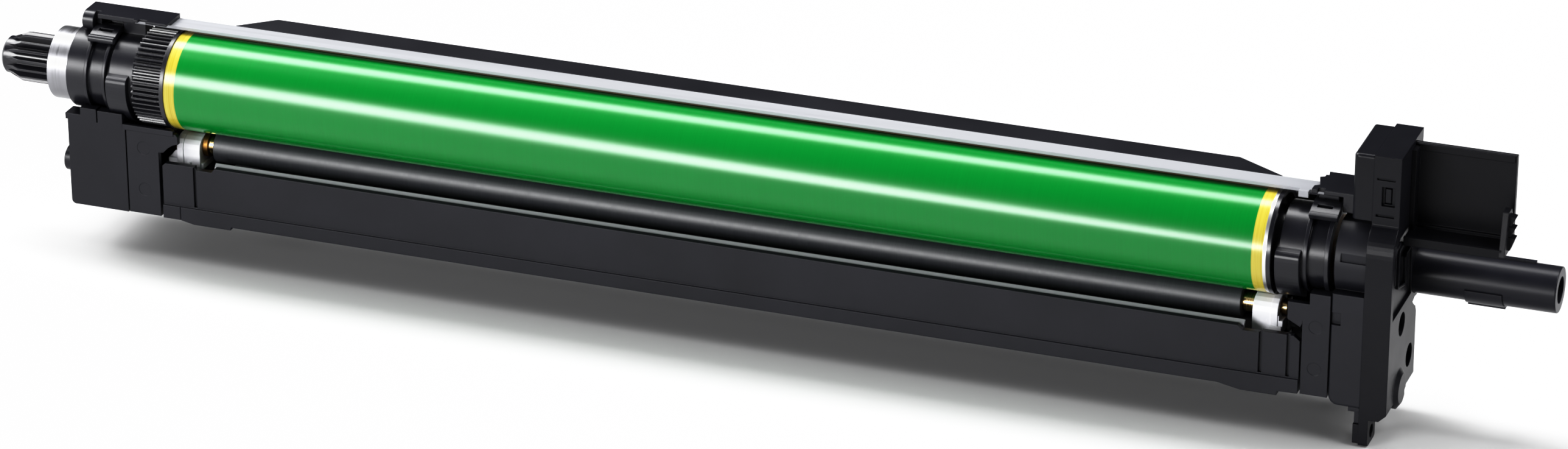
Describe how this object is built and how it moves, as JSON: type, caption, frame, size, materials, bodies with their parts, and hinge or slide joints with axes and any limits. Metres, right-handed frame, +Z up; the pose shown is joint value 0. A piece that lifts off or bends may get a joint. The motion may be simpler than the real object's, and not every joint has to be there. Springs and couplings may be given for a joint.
{
  "type": "printer drum unit",
  "caption": "Long imaging drum cartridge: coated drum with drive gear and spline, charging roller, cleaning blade, waste screw and outlet tube in a black frame.",
  "frame": {"origin": "on the drum axis, at the shoulder where the locating collar leaves its holder at the drive end", "axes": "+X along the drum axis from the drive end to the outlet tube, +Y from the front panel to the back, +Z up"},
  "size_m": [0.476, 0.0403, 0.0872],
  "materials": {
    "black_plastic": "fine satin moulding",
    "gear_plastic": "smooth satin moulding",
    "drum_coating": "glossy coated aluminium with bare bands at both ends",
    "bearing_steel": "ground",
    "sintered_bronze": "sintered",
    "plated_sheet": "plated",
    "brass_shaft": "turned",
    "roller_rubber": "ground satin",
    "white_plastic": "smooth",
    "spring_steel": "drawn wire and sheet",
    "bracket_sheet": "pale coated sheet",
    "urethane": "translucent",
    "film": "thin film",
    "screw_plastic": "natural"
  },
  "bodies": {
    "frame": {"main_frame": "black_plastic", "drive_cover": "black_plastic", "frame_end_left": "black_plastic", "bearing_holder_left": "black_plastic", "bearing_holder_right": "black_plastic", "frame_end_right": "black_plastic", "end_housing": "black_plastic", "side_cover": "black_plastic", "block_cover": "black_plastic", "cable_tray": "black_plastic", "waste_tube": "black_plastic", "cap_left": "black_plastic", "cap_right": "black_plastic", "rear_cover": "black_plastic", "memory_connector": "black_plastic", "locating_collar": "bearing_steel", "end_bush": "sintered_bronze", "roller_sheet": "plated_sheet", "holder_spring_left": "spring_steel", "holder_spring_right": "spring_steel", "charge_contact": "spring_steel", "blade_bracket": "bracket_sheet", "cleaning_blade": "urethane", "recovery_seal": "film", "bracket_screws": "spring_steel"},
    "drum": {"drum_tube": "drum_coating", "drive_flange": "gear_plastic", "drive_coupling": "gear_plastic", "end_flange": "gear_plastic", "earth_spider": "spring_steel"},
    "carriage": {"roller_holder_left": "white_plastic", "roller_holder_right": "white_plastic", "shaft_bush": "sintered_bronze"},
    "roller": {"charge_shaft": "brass_shaft", "charge_sleeve": "roller_rubber"},
    "screw": {"waste_screw": "screw_plastic", "waste_gear": "screw_plastic"},
    "shutter": {"tube_shutter": "black_plastic"}
  },
  "joints": [
    {"name": "drum_spin", "type": "hinge", "parent": "frame", "child": "drum", "pos_m": [0.0333, 0, 0], "axis": [1, 0, 0], "continuous": true},
    {"name": "carriage_lift", "type": "slide", "parent": "frame", "child": "carriage", "axis": [0, 0, 1], "range_m": [-0.0009, 0], "stiffness_N_per_m": 900, "springref_m": 0.004, "deforming": ["holder_spring_left", "holder_spring_right"]},
    {"name": "roller_spin", "type": "hinge", "parent": "carriage", "child": "roller", "pos_m": [0.2033, 0, -0.02005], "axis": [1, 0, 0], "continuous": true},
    {"name": "screw_spin", "type": "hinge", "parent": "frame", "child": "screw", "pos_m": [0.0333, 0.01711, -0.01061], "axis": [1, 0, 0], "continuous": true},
    {"name": "shutter_slide", "type": "slide", "parent": "frame", "child": "shutter", "axis": [1, 0, 0], "range_m": [-0.0105, 0]}
  ],
  "couplings": [
    {"joint": "roller_spin", "follows": "drum_spin", "ratio": -3},
    {"joint": "screw_spin", "follows": "drum_spin", "ratio": -2.4762}
  ]
}
